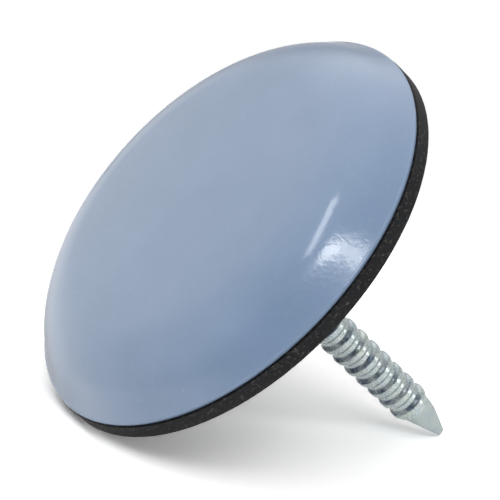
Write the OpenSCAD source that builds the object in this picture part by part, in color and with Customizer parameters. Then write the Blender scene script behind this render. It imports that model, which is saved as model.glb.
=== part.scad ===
// Nail-on furniture slider: domed slide cap, core disc, rubber pad and ring-shank nail.
// Millimetres. Z is the axis: the slide face is at Z 0 and the nail points up.

/* [Slide cap] */
// Diameter of the cap at its rim
cap_d = 29.8; // [26:0.1:40]
// Height of the cap from slide face to rim plane
cap_h = 3.9; // [3.6:0.1:5]
// Wall of the cap, square to its surface
cap_wall = 1.5; // [1:0.1:1.7]
// Radius of the nearly flat crown
crown_r = 136; // [90:1:300]
// Radius of the shoulder between crown and flank
shoulder_r = 6.3; // [5:0.1:7.5]
// Slope of the flank against the slide plane
flank_angle = 51.5; // [45:0.5:57]
// Height of the upright rim
rim_h = 0.27; // [0.2:0.01:0.4]
// Round on the outer edge of the rim
rim_round = 0.3; // [0.1:0.05:0.4]

/* [Core disc] */
// Gap between the core and the inside of the cap
core_clear = 0.05; // [0.02:0.01:0.2]
// Gap round the nail's head in its pocket
head_clear = 0.1; // [0.05:0.05:0.3]
// Gap round the shank in its bore
shank_clear = 0.05; // [0.02:0.01:0.2]

/* [Bond film] */
// Thickness of the adhesive film
film_t = 0.1; // [0.05:0.01:0.3]
// How far the film stops short of the rim
film_inset = 0.35; // [0:0.05:1]

/* [Rubber pad] */
// How far the pad stands out past the cap's rim
pad_out = 0.1; // [0:0.05:1]
// Thickness of the pad
pad_t = 1; // [0.6:0.1:3]
// Round on the pad's edges
pad_round = 0.12; // [0.05:0.01:0.25]
// Gap between the pad's hole and the ring crests
pad_clear = 0.15; // [0.05:0.05:0.5]

/* [Nail] */
// Length from under the head to the tip
nail_len = 25; // [18:0.5:40]
// Diameter of the plain shank
wire_d = 2.4; // [2.2:0.05:2.6]
// Diameter of the head
head_d = 7; // [5:0.1:9]
// Thickness of the head
head_t = 1.05; // [0.6:0.05:1.3]
// Plain shank left between the pad and the rings
plain_len = 2.5; // [0.5:0.1:6]

/* [Nail rings] */
// Diameter over the ring crests
crest_d = 2.74; // [2.66:0.01:3]
// Diameter in the valleys between rings
root_d = 2.34; // [2.2:0.01:2.45]
// Distance from ring to ring
ring_pitch = 1.275; // [1:0.005:1.6]
// Width of the flat land on each crest
land_w = 0.3; // [0.1:0.01:0.4]

/* [Nail point] */
// Length of the diamond point
point_len = 3.46; // [2:0.01:5]
// Width across the flats where the point begins
point_w = 2.15; // [1.9:0.01:2.3]
// Width of the blunt tip
tip_w = 0.6; // [0.2:0.01:0.8]
// Turn of the flats about the nail
point_turn = 35; // [0:1:89]

/* [Hidden] */
$fn = 128;
// Reach of cutters past what they cut
past = 1;
cap_r = cap_d / 2;
pad_r = cap_r + pad_out;
head_r = head_d / 2;
crest_r = crest_d / 2;
root_r = root_d / 2;

// Unit vectors along the flank, outward and up, and square to it, outward
flank_dir = [cos(flank_angle), sin(flank_angle)];
flank_out = [sin(flank_angle), -cos(flank_angle)];

// The shoulder touches the flank and, from inside, the crown
rim_corner = [cap_r, cap_h - rim_h];
crown_c = [0, crown_r];
shoulder_line = rim_corner - shoulder_r * flank_out - crown_c;
along = shoulder_line * flank_dir;
reach = crown_r - shoulder_r;
flank_len = along + sqrt(along * along + reach * reach - shoulder_line * shoulder_line);
shoulder_c = crown_c + shoulder_line - flank_len * flank_dir;
crown_out = (shoulder_c - crown_c) / reach;

// The rim's round touches the flank and the upright rim
rim_tangent = rim_round * tan((90 - flank_angle) / 2);
rim_c = rim_corner + [-rim_round, rim_tangent];

// Heights of the stack, from the seat of the nail's head to the pad's back
inner_crown_r = crown_r - cap_wall;
pocket_r = head_r + head_clear;
seat_z = crown_r - sqrt(inner_crown_r * inner_crown_r - pocket_r * pocket_r);
head_top = seat_z + head_t;
pad_z = cap_h + film_t;
back_z = pad_z + pad_t;
tip_z = head_top + nail_len;
hole_r = crest_r + pad_clear;

// Rings: count, first crest, and the arc through a land's edge and the valley
ring_end = tip_z - point_len;
ring_count = floor((ring_end - back_z - plain_len) / ring_pitch);
first_crest = ring_end - (ring_count - 0.5) * ring_pitch;
ring_depth = crest_r - root_r;
arc_span = (ring_pitch * ring_pitch - land_w * land_w) / 4;
arc_rise = (arc_span / ring_depth + ring_depth) / 2;
arc_r = sqrt(arc_rise * arc_rise + land_w * land_w / 4);

// Point where the shoulder, drawn in by inset, meets a direction from its centre
function shoulder_at(dir, inset) = shoulder_c + (shoulder_r - inset) * dir;

// Crown, shoulder and flank of the cap in half section, drawn in by inset and open upward
module dome_section(inset) {
    flank_top = shoulder_at(flank_out, inset) + cap_h * flank_dir;
    intersection() {
        translate(crown_c) circle(crown_r - inset, $fn = 1440);
        union() {
            polygon([
                [0, -past],
                shoulder_at(crown_out, -past),
                shoulder_at(crown_out, inset),
                shoulder_at(flank_out, inset),
                flank_top,
                [0, flank_top.y]
            ]);
            translate(shoulder_c) circle(shoulder_r - inset);
        }
        square([cap_r, cap_h]);
    }
}

// Half section that trims the cap's sharp outer corner to the rim's round
module rim_section() {
    polygon([
        [0, -past],
        [cap_r + past, -past],
        rim_c + rim_round * flank_out + past * flank_out,
        rim_c + rim_round * flank_out,
        rim_c + [rim_round, 0],
        [cap_r, cap_h],
        [0, cap_h]
    ]);
    translate(rim_c) circle(rim_round);
}

// Inside of the cap in half section, with a flat seat for the nail's head
module hollow_section(gap) {
    intersection() {
        dome_section(cap_wall + gap);
        translate([0, seat_z]) square([cap_r, cap_h - seat_z]);
    }
}

module slide_cap() {
    color("#99a8be")
    rotate_extrude()
    difference() {
        intersection() {
            dome_section(0);
            rim_section();
        }
        hollow_section(0);
    }
}

module core_disc() {
    color("#3a3d42")
    difference() {
        rotate_extrude() hollow_section(core_clear);
        translate([0, 0, seat_z - past]) cylinder(r = pocket_r, h = head_t + past);
        cylinder(d = wire_d + 2 * shank_clear, h = cap_h + past);
    }
}

module bond_film() {
    color("#d9d4c0")
    translate([0, 0, cap_h])
    difference() {
        cylinder(r = cap_r - film_inset, h = film_t);
        translate([0, 0, -past]) cylinder(r = hole_r, h = film_t + 2 * past);
    }
}

module rubber_pad() {
    color("#2a2b2e")
    translate([0, 0, pad_z])
    rotate_extrude() {
        translate([hole_r, 0]) square([pad_r - pad_round - hole_r, pad_t]);
        translate([hole_r, pad_round]) square([pad_r - hole_r, pad_t - 2 * pad_round]);
        for (z = [pad_round, pad_t - pad_round])
            translate([pad_r - pad_round, z]) circle(pad_round);
    }
}

// Ring shank in half section: round lobes with a narrow land on each crest
module ring_section() {
    intersection() {
        for (i = [0 : ring_count - 1])
            translate([crest_r - arc_rise, first_crest + i * ring_pitch]) circle(arc_r);
        square([crest_r, tip_z]);
    }
}

// Wire end cut by four flats to a blunt tip
module diamond_point() {
    flat_angle = atan((point_w - tip_w) / 2 / point_len);
    base_z = ring_end - ring_pitch / 4;
    difference() {
        translate([0, 0, base_z]) cylinder(r = root_r, h = tip_z - base_z);
        for (turn = [0 : 90 : 270])
            rotate(point_turn + turn)
            translate([point_w / 2, -wire_d, ring_end])
            rotate([0, -flat_angle, 0])
            translate([0, 0, -point_len]) cube([wire_d, 2 * wire_d, 3 * point_len]);
    }
}

module nail() {
    color("#b9c0c0") {
        rotate_extrude() {
            translate([0, seat_z]) square([head_r, head_t]);
            translate([0, seat_z]) square([wire_d / 2, first_crest - seat_z]);
            ring_section();
        }
        diamond_point();
    }
}

slide_cap();
core_disc();
nail();
bond_film();
rubber_pad();
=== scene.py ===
import bpy
import math
import random
from mathutils import Matrix, Vector


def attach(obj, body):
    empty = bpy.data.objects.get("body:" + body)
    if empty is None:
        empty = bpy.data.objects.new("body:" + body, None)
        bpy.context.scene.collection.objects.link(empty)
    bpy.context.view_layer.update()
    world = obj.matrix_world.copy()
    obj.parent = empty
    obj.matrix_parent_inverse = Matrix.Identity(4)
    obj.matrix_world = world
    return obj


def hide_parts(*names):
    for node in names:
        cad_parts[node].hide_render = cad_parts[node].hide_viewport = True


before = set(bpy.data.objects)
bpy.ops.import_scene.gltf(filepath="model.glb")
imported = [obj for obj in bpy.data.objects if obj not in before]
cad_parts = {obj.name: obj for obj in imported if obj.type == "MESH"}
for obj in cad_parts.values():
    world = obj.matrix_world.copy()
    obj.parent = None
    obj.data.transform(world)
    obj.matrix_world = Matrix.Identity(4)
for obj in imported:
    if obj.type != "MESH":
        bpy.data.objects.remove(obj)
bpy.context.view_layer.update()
mm = 0.001
weldMm = 0.0005

scene = bpy.context.scene
scene.view_settings.view_transform = "Standard"
random.seed(11)


def linearColour(hexCode):
    channels = []
    for place in (1, 3, 5):
        value = int(hexCode[place:place + 2], 16) / 255
        channels.append(value / 12.92 if value <= 0.04045 else ((value + 0.055) / 1.055) ** 2.4)
    return (*channels, 1.0)


def addNode(tree, kind, settings=None, inputs=None):
    node = tree.nodes.new(kind)
    for name, value in (settings or {}).items():
        setattr(node, name, value)
    for name, value in (inputs or {}).items():
        if isinstance(value, bpy.types.NodeSocket):
            tree.links.new(value, node.inputs[name])
        else:
            node.inputs[name].default_value = value
    return node


def startMaterial(name):
    material = bpy.data.materials.new(name)
    material.use_nodes = True
    material.node_tree.nodes.clear()
    return material, material.node_tree


# a matrix from three axes and a place
def standAt(xAxis, yAxis, zAxis, spot):
    rows = [(xAxis[row], yAxis[row], zAxis[row], spot[row]) for row in range(3)]
    return Matrix((*rows, (0, 0, 0, 1)))


# ptfe compound, pressed and skimmed: blue-grey all through, a waxy satin skin with faint clouds;
# its flank is more open, with fine pores and a few pale scuffs
ptfe, tree = startMaterial("pressedPtfe")
place = addNode(tree, "ShaderNodeTexCoord").outputs["Object"]
clouds = addNode(tree, "ShaderNodeTexNoise",
                 inputs={"Vector": place, "Scale": 1 / (5 * mm), "Detail": 3.0, "Roughness": 0.5})
flecks = addNode(tree, "ShaderNodeTexNoise",
                 inputs={"Vector": place, "Scale": 1 / (0.45 * mm), "Detail": 2.0, "Roughness": 0.6})
tone = addNode(tree, "ShaderNodeMapRange",
               inputs={"Value": clouds.outputs["Fac"], "From Min": 0.3, "From Max": 0.7})
base = addNode(tree, "ShaderNodeMix", {"data_type": "RGBA"},
               {0: tone.outputs["Result"], 6: linearColour("#70859f"), 7: linearColour("#768aa6")})
fleckTone = addNode(tree, "ShaderNodeMapRange",
                    inputs={"Value": flecks.outputs["Fac"], "From Min": 0.55, "From Max": 0.75,
                            "To Max": 0.25})
skin = addNode(tree, "ShaderNodeMix", {"data_type": "RGBA"},
               {0: fleckTone.outputs["Result"], 6: base.outputs[2], 7: linearColour("#7d91ab")})
gloss = addNode(tree, "ShaderNodeMapRange",
                inputs={"Value": flecks.outputs["Fac"], "From Min": 0.3, "From Max": 0.7,
                        "To Min": 0.09, "To Max": 0.13})
flat = addNode(tree, "ShaderNodeVectorMath", {"operation": "MULTIPLY"}, {0: place, 1: (1, 1, 0)})
fromAxis = addNode(tree, "ShaderNodeVectorMath", {"operation": "LENGTH"}, {0: flat.outputs["Vector"]})
flank = addNode(tree, "ShaderNodeMapRange", {"interpolation_type": "SMOOTHSTEP"},
                {"Value": fromAxis.outputs["Value"], "From Min": 12.4 * mm, "From Max": 13.4 * mm})
pores = addNode(tree, "ShaderNodeTexNoise",
                inputs={"Vector": place, "Scale": 1 / (0.32 * mm), "Detail": 3.0, "Roughness": 0.6})
scuff = addNode(tree, "ShaderNodeMapRange",
                inputs={"Value": pores.outputs["Fac"], "From Min": 0.7, "From Max": 0.77, "To Max": 0.4})
rubbed = addNode(tree, "ShaderNodeMath", {"operation": "MULTIPLY"},
                 {0: scuff.outputs["Result"], 1: flank.outputs["Result"]})
worn = addNode(tree, "ShaderNodeMix", {"data_type": "RGBA"},
               {0: rubbed.outputs["Value"], 6: skin.outputs[2], 7: linearColour("#b4c4da")})
pits = addNode(tree, "ShaderNodeMath", {"operation": "MULTIPLY"},
               {0: pores.outputs["Fac"], 1: flank.outputs["Result"]})
ripple = addNode(tree, "ShaderNodeBump",
                 inputs={"Height": flecks.outputs["Fac"], "Strength": 0.6, "Distance": 0.004 * mm})
pitted = addNode(tree, "ShaderNodeBump",
                 inputs={"Height": pits.outputs["Value"], "Strength": 0.6, "Distance": 0.021 * mm,
                         "Normal": ripple.outputs["Normal"]})
shader = addNode(tree, "ShaderNodeBsdfPrincipled",
                 inputs={"Base Color": worn.outputs[2], "Roughness": gloss.outputs["Result"],
                         "Normal": pitted.outputs["Normal"], "IOR": 1.4})
addNode(tree, "ShaderNodeOutputMaterial", inputs={"Surface": shader.outputs["BSDF"]})

# filled rubber sheet, die-cut: soot black and dull, with specks of pale dust caught in an open grain
rubber, tree = startMaterial("dieCutRubber")
place = addNode(tree, "ShaderNodeTexCoord").outputs["Object"]
grain = addNode(tree, "ShaderNodeTexNoise",
                inputs={"Vector": place, "Scale": 1 / (0.22 * mm), "Detail": 4.0, "Roughness": 0.65})
dust = addNode(tree, "ShaderNodeTexNoise",
               inputs={"Vector": place, "Scale": 1 / (2.5 * mm), "Detail": 3.0, "Roughness": 0.6})
dustTone = addNode(tree, "ShaderNodeMapRange",
                   inputs={"Value": dust.outputs["Fac"], "From Min": 0.35, "From Max": 0.75})
soot = addNode(tree, "ShaderNodeMix", {"data_type": "RGBA"},
               {0: dustTone.outputs["Result"], 6: linearColour("#0a0b0e"), 7: linearColour("#111316")})
speck = addNode(tree, "ShaderNodeMapRange",
                inputs={"Value": grain.outputs["Fac"], "From Min": 0.54, "From Max": 0.74, "To Max": 0.6})
sootSpeck = addNode(tree, "ShaderNodeMix", {"data_type": "RGBA"},
                    {0: speck.outputs["Result"], 6: soot.outputs[2], 7: linearColour("#6a665f")})
pitting = addNode(tree, "ShaderNodeBump",
                  inputs={"Height": grain.outputs["Fac"], "Strength": 0.6, "Distance": 0.03 * mm})
dull = addNode(tree, "ShaderNodeMapRange",
               inputs={"Value": grain.outputs["Fac"], "From Min": 0.3, "From Max": 0.7,
                       "To Min": 0.6, "To Max": 0.8})
shader = addNode(tree, "ShaderNodeBsdfPrincipled",
                 inputs={"Base Color": sootSpeck.outputs[2], "Roughness": dull.outputs["Result"],
                         "Normal": pitting.outputs["Normal"], "IOR": 1.5, "Specular IOR Level": 0.22})
addNode(tree, "ShaderNodeOutputMaterial", inputs={"Surface": shader.outputs["BSDF"]})

# zinc plate on rolled steel wire: pale, grainy and faintly tinted; a painted dark reflection in blue-grey on
# the ring flanks towards the head, patchy, and weaker on the side that faces the light; the cut point is
# frosted
zinc, tree = startMaterial("zincPlate")
coords = addNode(tree, "ShaderNodeTexCoord")
place = coords.outputs["Object"]
facing = addNode(tree, "ShaderNodeSeparateXYZ", inputs={"Vector": coords.outputs["Normal"]}).outputs["Z"]
height = addNode(tree, "ShaderNodeSeparateXYZ", inputs={"Vector": place}).outputs["Z"]
tint = addNode(tree, "ShaderNodeTexNoise",
               inputs={"Vector": place, "Scale": 1 / (0.7 * mm), "Detail": 3.0, "Roughness": 0.6})
crystal = addNode(tree, "ShaderNodeTexNoise",
                  inputs={"Vector": place, "Scale": 1 / (0.16 * mm), "Detail": 3.0, "Roughness": 0.6})
tintTone = addNode(tree, "ShaderNodeMapRange",
                   inputs={"Value": tint.outputs["Fac"], "From Min": 0.38, "From Max": 0.62})
plate = addNode(tree, "ShaderNodeMix", {"data_type": "RGBA"},
                {0: tintTone.outputs["Result"], 6: linearColour("#b3bfc3"), 7: linearColour("#bec7c3")})
frosted = addNode(tree, "ShaderNodeMapRange", {"interpolation_type": "SMOOTHSTEP"},
                  {"Value": height, "From Min": 24.0 * mm, "From Max": 24.35 * mm})
# the ring flanks that face the head carry a painted dark reflection
headSide = addNode(tree, "ShaderNodeMapRange", {"interpolation_type": "SMOOTHSTEP"},
                   {"Value": facing, "From Min": -0.05, "From Max": -0.35})
patchy = addNode(tree, "ShaderNodeMapRange",
                 inputs={"Value": tint.outputs["Fac"], "From Min": 0.35, "From Max": 0.6,
                         "To Min": 1.0, "To Max": 0.5})
# the painted band is weaker on the side of the nail that faces the light, as the light falls
towardLitSide = addNode(tree, "ShaderNodeVectorMath", {"operation": "DOT_PRODUCT"},
                   {0: coords.outputs["Normal"], 1: (0.707, -0.707, 0)})
litSideFade = addNode(tree, "ShaderNodeMapRange", {"interpolation_type": "SMOOTHSTEP"},
                   {"Value": towardLitSide.outputs["Value"], "From Min": 0.15, "From Max": 0.95,
                    "To Min": 1.0, "To Max": 0.35})
patchyLitFade = addNode(tree, "ShaderNodeMath", {"operation": "MULTIPLY"},
                 {0: patchy.outputs["Result"], 1: litSideFade.outputs["Result"]})
paintedBandMask = addNode(tree, "ShaderNodeMath", {"operation": "MULTIPLY"},
                  {0: headSide.outputs["Result"], 1: patchyLitFade.outputs["Value"]})
shank = addNode(tree, "ShaderNodeMath", {"operation": "SUBTRACT"}, {0: 1.0, 1: frosted.outputs["Result"]})
paintedBandOnShank = addNode(tree, "ShaderNodeMath", {"operation": "MULTIPLY"},
               {0: paintedBandMask.outputs["Value"], 1: shank.outputs["Value"]})
# painted reflection: the plate colour is darkened to blue-grey on those flanks
plateWithPaintedBand = addNode(tree, "ShaderNodeMix", {"data_type": "RGBA"},
                 {0: paintedBandOnShank.outputs["Value"], 6: plate.outputs[2], 7: linearColour("#3b4a5c")})
sheen = addNode(tree, "ShaderNodeMapRange",
                inputs={"Value": crystal.outputs["Fac"], "From Min": 0.3, "From Max": 0.7,
                        "To Min": 0.2, "To Max": 0.36})
dullness = addNode(tree, "ShaderNodeMath", {"operation": "MULTIPLY_ADD"},
                   {0: frosted.outputs["Result"], 1: 0.3, 2: sheen.outputs["Result"]})
bareMetal = addNode(tree, "ShaderNodeMapRange",
                    inputs={"Value": shank.outputs["Value"], "To Min": 0.35, "To Max": 0.55})
dents = addNode(tree, "ShaderNodeBump",
                inputs={"Height": tint.outputs["Fac"], "Strength": 0.5, "Distance": 0.03 * mm})
frost = addNode(tree, "ShaderNodeBump",
                inputs={"Height": crystal.outputs["Fac"], "Strength": 0.4, "Distance": 0.006 * mm,
                        "Normal": dents.outputs["Normal"]})
shader = addNode(tree, "ShaderNodeBsdfPrincipled",
                 inputs={"Base Color": plateWithPaintedBand.outputs[2], "Roughness": dullness.outputs["Value"],
                         "Normal": frost.outputs["Normal"], "Metallic": bareMetal.outputs["Result"]})
addNode(tree, "ShaderNodeOutputMaterial", inputs={"Surface": shader.outputs["BSDF"]})

# acrylic adhesive film: yellowed, tacky, with dirt caught on its edge
adhesive, tree = startMaterial("adhesiveFilm")
place = addNode(tree, "ShaderNodeTexCoord").outputs["Object"]
dirt = addNode(tree, "ShaderNodeTexNoise",
               inputs={"Vector": place, "Scale": 1 / (0.6 * mm), "Detail": 4.0, "Roughness": 0.6})
film = addNode(tree, "ShaderNodeMix", {"data_type": "RGBA"},
               {0: dirt.outputs["Fac"], 6: linearColour("#2c3038"), 7: linearColour("#565349")})
tack = addNode(tree, "ShaderNodeMapRange",
               inputs={"Value": dirt.outputs["Fac"], "To Min": 0.35, "To Max": 0.6})
shader = addNode(tree, "ShaderNodeBsdfPrincipled",
                 inputs={"Base Color": film.outputs[2], "Roughness": tack.outputs["Result"], "IOR": 1.47})
addNode(tree, "ShaderNodeOutputMaterial", inputs={"Surface": shader.outputs["BSDF"]})

# moulded polypropylene core: dark, with the fine spark texture of its mould
corePlastic, tree = startMaterial("mouldedCore")
place = addNode(tree, "ShaderNodeTexCoord").outputs["Object"]
spark = addNode(tree, "ShaderNodeTexNoise",
                inputs={"Vector": place, "Scale": 1 / (0.3 * mm), "Detail": 3.0, "Roughness": 0.6})
dark = addNode(tree, "ShaderNodeMix", {"data_type": "RGBA"},
               {0: spark.outputs["Fac"], 6: linearColour("#2e3136"), 7: linearColour("#3c4045")})
texture = addNode(tree, "ShaderNodeBump",
                  inputs={"Height": spark.outputs["Fac"], "Strength": 0.4, "Distance": 0.02 * mm})
shader = addNode(tree, "ShaderNodeBsdfPrincipled",
                 inputs={"Base Color": dark.outputs[2], "Roughness": 0.5,
                         "Normal": texture.outputs["Normal"], "IOR": 1.49})
addNode(tree, "ShaderNodeOutputMaterial", inputs={"Surface": shader.outputs["BSDF"]})
print("materials made")


# points on an arc in the half section; angles run from straight down towards the outside
def arcPoints(centre, radius, fromDeg, toDeg, count):
    points = []
    for step in range(count + 1):
        angle = math.radians(fromDeg + (toDeg - fromDeg) * step / count)
        points.append((centre[0] + radius * math.sin(angle), centre[1] - radius * math.cos(angle)))
    return points


# one vertex drawn along the half section, then spun round the axis
def turnPiece(name, section, steps):
    bpy.ops.object.select_all(action="DESELECT")
    bpy.ops.mesh.primitive_plane_add(size=1, location=(0, 0, 0))
    piece = bpy.context.object
    piece.name = name
    bpy.ops.object.mode_set(mode="EDIT")
    bpy.ops.mesh.select_all(action="SELECT")
    bpy.ops.mesh.merge(type="CENTER")
    bpy.ops.transform.translate(value=(section[0][0], 0, section[0][1]))
    for start, end in zip(section, section[1:]):
        move = (end[0] - start[0], 0, end[1] - start[1])
        bpy.ops.mesh.extrude_region_move(TRANSFORM_OT_translate={"value": move})
    bpy.ops.mesh.select_all(action="SELECT")
    bpy.ops.mesh.spin(steps=steps, angle=2 * math.pi, center=(0, 0, 0), axis=(0, 0, 1))
    bpy.ops.mesh.select_all(action="SELECT")
    bpy.ops.mesh.remove_doubles(threshold=weldMm)
    bpy.ops.mesh.normals_make_consistent(inside=False)
    bpy.ops.object.mode_set(mode="OBJECT")
    return piece


def selectOnly(piece):
    bpy.ops.object.select_all(action="DESELECT")
    piece.select_set(True)
    bpy.context.view_layer.objects.active = piece


def applyModifier(piece, kind, settings):
    selectOnly(piece)
    modifier = piece.modifiers.new(kind.lower(), kind)
    for name, value in settings.items():
        setattr(modifier, name, value)
    bpy.ops.object.modifier_apply(modifier=modifier.name)


# slight unevenness of a surface, so that its reflections wander
def roughen(piece, name, size, depth):
    texture = bpy.data.textures.new(name, "CLOUDS")
    texture.noise_scale = size
    texture.noise_depth = 2
    applyModifier(piece, "DISPLACE", {"texture": texture, "texture_coords": "LOCAL",
                                      "mid_level": 0.5, "strength": depth})


# pieces are drawn in millimetres and brought to metres here
def finishPiece(piece, material, node, smoothDeg):
    selectOnly(piece)
    bpy.ops.object.mode_set(mode="EDIT")
    bpy.ops.mesh.select_all(action="SELECT")
    bpy.ops.transform.resize(value=(mm, mm, mm), center_override=(0, 0, 0))
    bpy.ops.object.mode_set(mode="OBJECT")
    bpy.ops.object.shade_smooth_by_angle(angle=math.radians(smoothDeg))
    piece.data.materials.clear()
    piece.data.materials.append(material)
    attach(piece, "root")
    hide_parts(node)
    print(piece.name, "made,", len(piece.data.polygons), "faces")


# slide cap: nearly flat crown, round shoulder, sloping flank and a thin rolled lip, hollow behind
cap = {"rimRadius": 14.9, "height": 3.9, "wall": 1.5, "crownRadius": 136, "shoulderRadius": 6.3,
       "flankSlope": 51.5, "rimUpright": 0.27, "lipRound": 0.14, "lipAt": (14.82, 3.7), "lipEndDeg": 150,
       "lipBack": 0.04, "pocketRadius": 3.6, "crownSteps": 30, "shoulderSteps": 30, "lipSteps": 14,
       "hollowSteps": (10, 6), "steps": 256, "smoothDeg": 35}
slope = math.radians(cap["flankSlope"])
flankAlong = Vector((math.cos(slope), math.sin(slope)))
flankOut = Vector((math.sin(slope), -math.cos(slope)))
crownCentre = Vector((0, cap["crownRadius"]))
rimCorner = Vector((cap["rimRadius"], cap["height"] - cap["rimUpright"]))
shoulderLine = rimCorner - cap["shoulderRadius"] * flankOut - crownCentre
reach = cap["crownRadius"] - cap["shoulderRadius"]
along = shoulderLine.dot(flankAlong)
flankLength = along + math.sqrt(along ** 2 + reach ** 2 - shoulderLine.length_squared)
shoulderCentre = crownCentre + shoulderLine - flankLength * flankAlong
crownDeg = math.degrees(math.asin(shoulderCentre.x / reach))
lipDepth = (rimCorner - Vector(cap["lipAt"])).dot(flankOut)
lipDeg = cap["flankSlope"] - math.degrees(math.acos(lipDepth / cap["lipRound"]))
innerShoulder = cap["shoulderRadius"] - cap["wall"]
innerCrown = cap["crownRadius"] - cap["wall"]
innerFoot = shoulderCentre + innerShoulder * flankOut
innerEdge = innerFoot.x + (cap["height"] - innerFoot.y) / math.tan(slope)
pocketDeg = math.degrees(math.asin(cap["pocketRadius"] / innerCrown))
seat = cap["crownRadius"] - innerCrown * math.cos(math.radians(pocketDeg))

hollowShoulder, hollowCrown = cap["hollowSteps"]
section = arcPoints(crownCentre, cap["crownRadius"], 0, crownDeg, cap["crownSteps"])
section += arcPoints(shoulderCentre, cap["shoulderRadius"], crownDeg, cap["flankSlope"],
                     cap["shoulderSteps"])[1:]
section += arcPoints(cap["lipAt"], cap["lipRound"], lipDeg, cap["lipEndDeg"], cap["lipSteps"])
section += [(cap["lipAt"][0] + cap["lipBack"], cap["height"]), (innerEdge, cap["height"])]
section += arcPoints(shoulderCentre, innerShoulder, cap["flankSlope"], crownDeg, hollowShoulder)
section += arcPoints(crownCentre, innerCrown, crownDeg, pocketDeg, hollowCrown)[1:]
section += [(0, seat)]
slideCap = turnPiece("slideCap", section, cap["steps"])
finishPiece(slideCap, ptfe, "slide_cap", cap["smoothDeg"])

# rubber pad: a disc cut from sheet with a hole for the nail
pad = {"radius": 15.0, "hole": 1.52, "bottom": 4.0, "top": 5.0, "edgeRound": 0.06, "edgeSteps": 4,
       "edgeLoop": 0.38, "faceSteps": 24, "grainSize": 0.35, "grainDepth": 0.02, "steps": 320,
       "smoothDeg": 50}
edge = pad["edgeRound"]
faceStep = (pad["radius"] - edge - pad["hole"]) / pad["faceSteps"]
inner = [pad["hole"] + faceStep * step for step in range(pad["faceSteps"] + 1)]
section = [(radius, pad["bottom"]) for radius in inner]
section += arcPoints((pad["radius"] - edge, pad["bottom"] + edge), edge, 0, 90, pad["edgeSteps"])[1:]
section += [(pad["radius"], pad["bottom"] + pad["edgeLoop"]), (pad["radius"], pad["top"] - pad["edgeLoop"])]
section += arcPoints((pad["radius"] - edge, pad["top"] - edge), edge, 90, 180, pad["edgeSteps"])
section += [(radius, pad["top"]) for radius in reversed(inner[:-1])]
section += [section[0]]
rubberPad = turnPiece("rubberPad", section, pad["steps"])
roughen(rubberPad, "cutEdge", pad["grainSize"], pad["grainDepth"])
finishPiece(rubberPad, rubber, "rubber_pad", pad["smoothDeg"])

# nail: flat head, plain shank, rolled rings and a point cut by four flats
nail = {"seat": seat, "headRadius": 3.5, "headThick": 1.05, "headEdge": 0.25, "headBack": 0.15, "neck": 0.2,
        "roundSteps": (5, 4, 4), "wireRadius": 1.2, "length": 24.75, "crestRadius": 1.37, "rootRadius": 1.17,
        "pitch": 1.275, "rings": 13, "ringSteps": 24, "swell": (-0.02, 0.01), "valley": 0.12, "ramp": 0.38,
        "endInset": (0.02, 0.1), "endStep": 0.05, "grainSize": 0.9, "grainDepth": 0.03, "steps": 128,
        "smoothDeg": 40}
point = {"length": 3.21, "width": 2.15, "tipWidth": 0.5, "turnDeg": 35, "inset": 0.03, "sides": 96,
         "ridgeDeg": 20, "ridgeBreak": 0.18, "ridgeSteps": 5}
headTop = nail["seat"] + nail["headThick"]
tip = headTop + nail["length"]
ringEnd = tip - point["length"]
firstCrest = ringEnd - (nail["rings"] - 0.5) * nail["pitch"]
depth = nail["crestRadius"] - nail["rootRadius"]
headEdge, headBack, neck = nail["headEdge"], nail["headBack"], nail["neck"]
edgeSteps, backSteps, neckSteps = nail["roundSteps"]
section = [(0, nail["seat"])]
section += arcPoints((nail["headRadius"] - headEdge, nail["seat"] + headEdge), headEdge, 0, 90, edgeSteps)
section += arcPoints((nail["headRadius"] - headBack, headTop - headBack), headBack, 90, 180, backSteps)
section += arcPoints((nail["wireRadius"] + neck, headTop + neck), -neck, 0, 90, neckSteps)
# each ring rises smoothly from valley to crest, and no two are quite alike
for ring in range(nail["rings"]):
    crest = firstCrest + ring * nail["pitch"]
    swell = random.uniform(*nail["swell"])
    for step in range(nail["ringSteps"]):
        across = (step / nail["ringSteps"] - 0.5) * nail["pitch"]
        climb = (nail["pitch"] / 2 - abs(across) - nail["valley"]) / nail["ramp"]
        climb = min(max(climb, 0), 1)
        radius = nail["rootRadius"] + (depth + swell) * climb ** 2 * (3 - 2 * climb)
        if ring == 0 and across < 0:
            radius = max(radius, nail["wireRadius"])
        section.append((radius, crest + across))
endEdge, endBack = (nail["rootRadius"] - inset for inset in nail["endInset"])
endTop = ringEnd + nail["endStep"]
section += [(endEdge, ringEnd), (endBack, endTop), (0, endTop)]
ringNail = turnPiece("ringNail", section, nail["steps"])

# the point starts as a stub of wire, is cut by four flats, and its ridges are broken
bpy.ops.object.select_all(action="DESELECT")
stub = nail["pitch"] / 4
bpy.ops.mesh.primitive_cylinder_add(vertices=point["sides"], radius=nail["rootRadius"] - point["inset"],
                                    depth=point["length"] + stub, location=(0, 0, (ringEnd - stub + tip) / 2))
nailPoint = bpy.context.object
bpy.ops.object.transform_apply(location=True, rotation=True, scale=True)
bpy.ops.object.mode_set(mode="EDIT")
flatSlope = math.atan((point["width"] - point["tipWidth"]) / 2 / point["length"])
for turn in range(4):
    bearing = math.radians(point["turnDeg"] + 90 * turn)
    outward = Vector((math.cos(bearing), math.sin(bearing), 0))
    onFlat = outward * point["width"] / 2 + Vector((0, 0, ringEnd))
    flatNormal = outward * math.cos(flatSlope) + Vector((0, 0, math.sin(flatSlope)))
    bpy.ops.mesh.select_all(action="SELECT")
    bpy.ops.mesh.bisect(plane_co=onFlat, plane_no=flatNormal, use_fill=True, clear_outer=True)
bpy.ops.mesh.select_all(action="DESELECT")
bpy.ops.mesh.select_mode(type="EDGE")
bpy.ops.mesh.edges_select_sharp(sharpness=math.radians(point["ridgeDeg"]))
bpy.ops.mesh.bevel(offset=point["ridgeBreak"], segments=point["ridgeSteps"], affect="EDGES")
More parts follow.
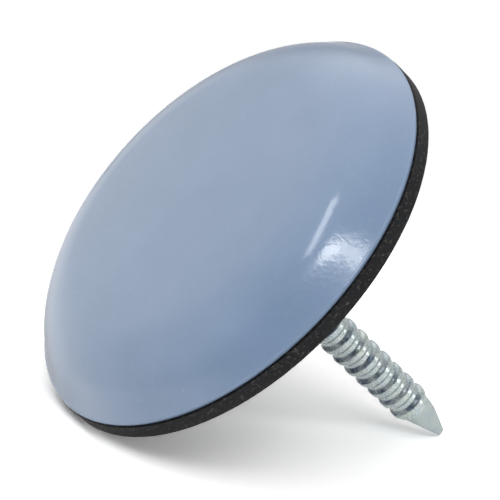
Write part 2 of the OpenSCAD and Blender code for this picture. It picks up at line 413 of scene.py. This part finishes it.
bpy.ops.mesh.select_mode(type="VERT")
bpy.ops.object.mode_set(mode="OBJECT")
applyModifier(ringNail, "BOOLEAN", {"operation": "UNION", "object": nailPoint, "solver": "EXACT"})
bpy.data.objects.remove(nailPoint)
roughen(ringNail, "rolledWire", nail["grainSize"], nail["grainDepth"])
finishPiece(ringNail, zinc, "nail", nail["smoothDeg"])

# the core and the film keep their solids
for nodeName, material in (("core_disc", corePlastic), ("bond_film", adhesive)):
    solid = bpy.data.objects[nodeName]
    solid.data.materials.clear()
    solid.data.materials.append(material)
    print(nodeName, "dressed")

# camera: long lens, low over the floor, leaning to the left
shot = {"lens": 194.4, "sensor": 36, "fromMm": (99.012, 107.775, -84.568), "aimMm": (0.792, 0.721, 5.616),
        "up": (0.29008, -0.75831, -0.5838), "clipStart": 0.01}
aim = Vector(shot["aimMm"]) * mm
viewFrom = Vector(shot["fromMm"]) * mm
ahead = (aim - viewFrom).normalized()
right = ahead.cross(Vector(shot["up"])).normalized()
upward = right.cross(ahead)
cameraData = bpy.data.cameras.new("photoCamera")
cameraData.lens = shot["lens"]
cameraData.sensor_width = shot["sensor"]
cameraData.clip_start = shot["clipStart"]
photoCamera = bpy.data.objects.new("photoCamera", cameraData)
scene.collection.objects.link(photoCamera)
photoCamera.matrix_world = standAt(right, upward, -ahead, viewFrom)
scene.camera = photoCamera
print("camera set")

# floor: the slider rests on the pad's rim and on the nail's tip; X runs along the nail, Z up
floor = {"rimTouchMm": (-10.607, 10.607, 5.0), "tipTouchMm": (-0.127, 0.127, 27.598), "halfSize": 1.5,
         "clearMm": (45, 80), "domeEdgeMm": (-12, -9), "tone": 0.8, "seenTone": 1.55}
rimTouch = Vector(floor["rimTouchMm"]) * mm
tipTouch = Vector(floor["tipTouchMm"]) * mm
nailAlong = (tipTouch - rimTouch).normalized()
floorUp = Vector((1, 1, 0)).cross(nailAlong).normalized()
nailAcross = floorUp.cross(nailAlong)
middle = (rimTouch + tipTouch) / 2
bpy.ops.object.select_all(action="DESELECT")
bpy.ops.mesh.primitive_plane_add(size=2 * floor["halfSize"], location=(0, 0, 0))
paper = bpy.context.object
paper.name = "paperFloor"
paper.matrix_world = standAt(nailAlong, nailAcross, floorUp, middle)
clearNear, clearFar = (edge * mm for edge in floor["clearMm"])
domeEnd, nailStart = (edge * mm for edge in floor["domeEdgeMm"])

# white paper: plain and matte, pure white to the camera past the shadow; gloss sees it only beside the nail
paperMaterial, tree = startMaterial("whitePaper")
rays = addNode(tree, "ShaderNodeLightPath")
place = addNode(tree, "ShaderNodeTexCoord").outputs["Object"]
distance = addNode(tree, "ShaderNodeVectorMath", {"operation": "LENGTH"}, {0: place})
clear = addNode(tree, "ShaderNodeMapRange", {"interpolation_type": "SMOOTHSTEP"},
                {"Value": distance.outputs["Value"], "From Min": clearNear, "From Max": clearFar})
seen = addNode(tree, "ShaderNodeMath", {"operation": "MULTIPLY"},
               {0: clear.outputs["Result"], 1: rays.outputs["Is Camera Ray"]})
mirrored = addNode(tree, "ShaderNodeMath", {"operation": "MAXIMUM"},
                   {0: rays.outputs["Is Camera Ray"], 1: rays.outputs["Is Glossy Ray"]})
paperTone = addNode(tree, "ShaderNodeMapRange",
                    inputs={"Value": mirrored.outputs["Value"],
                            "To Min": floor["tone"], "To Max": floor["seenTone"]})
matte = addNode(tree, "ShaderNodeBsdfDiffuse", inputs={"Color": paperTone.outputs["Result"]})
glow = addNode(tree, "ShaderNodeEmission", inputs={"Strength": 1.0})
lit = addNode(tree, "ShaderNodeMixShader",
              inputs={0: seen.outputs["Value"], 1: matte.outputs["BSDF"], 2: glow.outputs["Emission"]})
behind = addNode(tree, "ShaderNodeNewGeometry").outputs["Backfacing"]
alongNail = addNode(tree, "ShaderNodeSeparateXYZ", inputs={"Vector": place}).outputs["X"]
underDome = addNode(tree, "ShaderNodeMapRange",
                    inputs={"Value": alongNail, "From Min": domeEnd, "From Max": nailStart,
                            "To Min": 1.0, "To Max": 0.0})
domeRay = addNode(tree, "ShaderNodeMath", {"operation": "MULTIPLY"},
                  {0: underDome.outputs["Result"], 1: rays.outputs["Is Glossy Ray"]})
unseen = addNode(tree, "ShaderNodeMath", {"operation": "MAXIMUM"}, {0: behind, 1: domeRay.outputs["Value"]})
through = addNode(tree, "ShaderNodeBsdfTransparent")
sheet = addNode(tree, "ShaderNodeMixShader",
                inputs={0: unseen.outputs["Value"], 1: lit.outputs["Shader"], 2: through.outputs["BSDF"]})
addNode(tree, "ShaderNodeOutputMaterial", inputs={"Surface": sheet.outputs["Shader"]})
paper.data.materials.append(paperMaterial)

# world: plain ambient light and white past the object; gloss sees a room that is bright above and to the left
studio = {"ambient": 0.16, "leftInView": (-0.973, 0.23)}
# sides of the room: axis in (left, back, up) over the floor, the dot products with it where the side starts
# and is full, and its tones there
roomSides = {
    "leftWall": {"axis": (0.985, 0.174, 0), "reach": (0.35, 0.95), "tones": (0.2, 2.4)},
    "backWall": {"axis": (0, 1, 0), "reach": (0.65, 0.97), "tones": (0, 0.45)},
    "rightWall": {"axis": (-1, 0, 0), "reach": (0.1, 0.8), "tones": (0, 0.5)},
    "leftFloor": {"axis": (0.906, -0.423, 0), "reach": (0, 0.6), "tones": (0, 2.7)},
    "floorDepth": {"axis": (0, 0, -1), "reach": (0.05, 0.5), "tones": (0, 1)},
    "ceiling": {"axis": (0.4545, 0.4545, 0.766), "reach": (0.4, 1.0), "tones": (0.7, 2.8)},
}
wallTop = {"axis": (0, 0, 1), "reach": (0.25, 0.65)}
leftInView = right * studio["leftInView"][0] + upward * studio["leftInView"][1]
floorLeft = (leftInView - floorUp * leftInView.dot(floorUp)).normalized()
floorBack = floorLeft.cross(floorUp)
world = bpy.data.worlds.new("studioWorld")
world.use_nodes = True
scene.world = world
tree = world.node_tree
tree.nodes.clear()
rays = addNode(tree, "ShaderNodeLightPath")
way = addNode(tree, "ShaderNodeTexCoord").outputs["Generated"]


# a soft step from one tone to another along one axis of the room
def roomStep(axis, reach, tones):
    sideAxis = floorLeft * axis[0] + floorBack * axis[1] + floorUp * axis[2]
    along = addNode(tree, "ShaderNodeVectorMath", {"operation": "DOT_PRODUCT"}, {0: way, 1: sideAxis})
    step = addNode(tree, "ShaderNodeMapRange", {"interpolation_type": "SMOOTHSTEP"},
                   {"Value": along.outputs["Value"], "From Min": reach[0], "From Max": reach[1],
                    "To Min": tones[0], "To Max": tones[1]})
    return step.outputs["Result"]


sideTones = {name: roomStep(side["axis"], side["reach"], side["tones"]) for name, side in roomSides.items()}
twoWalls = addNode(tree, "ShaderNodeMath", {"operation": "ADD"},
                   {0: sideTones["leftWall"], 1: sideTones["backWall"]})
walls = addNode(tree, "ShaderNodeMath", {"operation": "ADD"},
                {0: twoWalls.outputs["Value"], 1: sideTones["rightWall"]})
litFloor = addNode(tree, "ShaderNodeMath", {"operation": "MULTIPLY"},
                   {0: sideTones["leftFloor"], 1: sideTones["floorDepth"]})
lower = addNode(tree, "ShaderNodeMath", {"operation": "MAXIMUM"},
                {0: walls.outputs["Value"], 1: litFloor.outputs["Value"]})
shell = roomStep(wallTop["axis"], wallTop["reach"], (lower.outputs["Value"], sideTones["ceiling"]))
plainWhite = (1, 1, 1, 1)
room = addNode(tree, "ShaderNodeBackground", inputs={"Color": plainWhite, "Strength": shell})
ambient = addNode(tree, "ShaderNodeBackground", inputs={"Color": plainWhite, "Strength": studio["ambient"]})
white = addNode(tree, "ShaderNodeBackground", inputs={"Color": plainWhite, "Strength": 1.0})
shiny = addNode(tree, "ShaderNodeMixShader",
                inputs={0: rays.outputs["Is Glossy Ray"], 1: ambient.outputs["Background"],
                        2: room.outputs["Background"]})
seen = addNode(tree, "ShaderNodeMath", {"operation": "MAXIMUM"},
               {0: rays.outputs["Is Camera Ray"], 1: rays.outputs["Is Transmission Ray"]})
mixed = addNode(tree, "ShaderNodeMixShader",
                inputs={0: seen.outputs["Value"], 1: shiny.outputs["Shader"], 2: white.outputs["Background"]})
addNode(tree, "ShaderNodeOutputWorld", inputs={"Surface": mixed.outputs["Shader"]})

# lamps stand at (right, up, towards) of the camera, seen from the object; plain ones light the part and stay
# out of its gloss, gloss ones show in its gloss alone
plainLamp = {"distanceMm": 450, "sizeMm": (400, 400), "along": (1, 0, 0), "gloss": False}
lamps = {
    "frontLow": {"from": (0.04, 0.169, 0.985), "radiance": 1.03},
    "frontKey": {"from": (0.1, 0.42, 0.9), "sizeMm": (200, 140), "radiance": 3.14},
    "frontLeft": {"from": (-0.299, 0.71, 0.637), "radiance": 1.92},
    "frontRight": {"from": (0.585, 0.501, 0.637), "radiance": 1.29},
    "backLeft": {"from": (-0.245, 0.939, -0.241), "radiance": 0.52},
    "backRight": {"from": (0.545, 0.69, -0.476), "radiance": 0.41},
    "overhead": {"from": (0.224, 0.948, 0.225), "radiance": 0.21},
    "streakStrip": {"from": (-0.322, 0.757, 0.569), "distanceMm": 400, "sizeMm": (156, 33), "radiance": 10.5,
                    "along": (0.0925, 0.2485, -0.277), "gloss": True},
    "frontBox": {"from": (0.036, 0.514, 0.857), "distanceMm": 400, "sizeMm": (188, 62), "radiance": 11.5,
                 "along": (0.33, -0.105, 0.05), "gloss": True},
    "frontCore": {"from": (-0.074, 0.55, 0.84), "distanceMm": 401, "sizeMm": (96, 50), "radiance": 8.0,
                  "along": (0.33, -0.105, 0.05), "gloss": True},
    "frontGlow": {"from": (0.03, 0.49, 0.86), "distanceMm": 420, "sizeMm": (260, 150), "radiance": 2.0,
                  "along": (0.33, -0.105, 0.05), "gloss": True},
    "glintBox": {"from": (0.99, -0.112, 0.095), "distanceMm": 300, "sizeMm": (36, 36), "radiance": 14.0,
                 "gloss": True},
}
for lampName, ownValues in lamps.items():
    lamp = {**plainLamp, **ownValues}
    toRight, toUp, toCamera = Vector(lamp["from"]).normalized()
    offset = (toRight * right + toUp * upward - toCamera * ahead) * lamp["distanceMm"] * mm
    wide, tall = (size * mm for size in lamp["sizeMm"])
    lampData = bpy.data.lights.new(lampName, "AREA")
    lampData.shape = "RECTANGLE"
    lampData.size = wide
    lampData.size_y = tall
    lampData.energy = lamp["radiance"] * math.pi * wide * tall
    lampObject = bpy.data.objects.new(lampName, lampData)
    lampObject.visible_glossy = lamp["gloss"]
    lampObject.visible_diffuse = not lamp["gloss"]
    scene.collection.objects.link(lampObject)
    facingZ = offset.normalized()
    along = Vector(lamp["along"])
    along = along.x * right + along.y * upward - along.z * ahead
    facingY = facingZ.cross(along).normalized()
    facingX = facingY.cross(facingZ)
    lampObject.matrix_world = standAt(facingX, facingY, facingZ, aim + offset)
print("stage set")
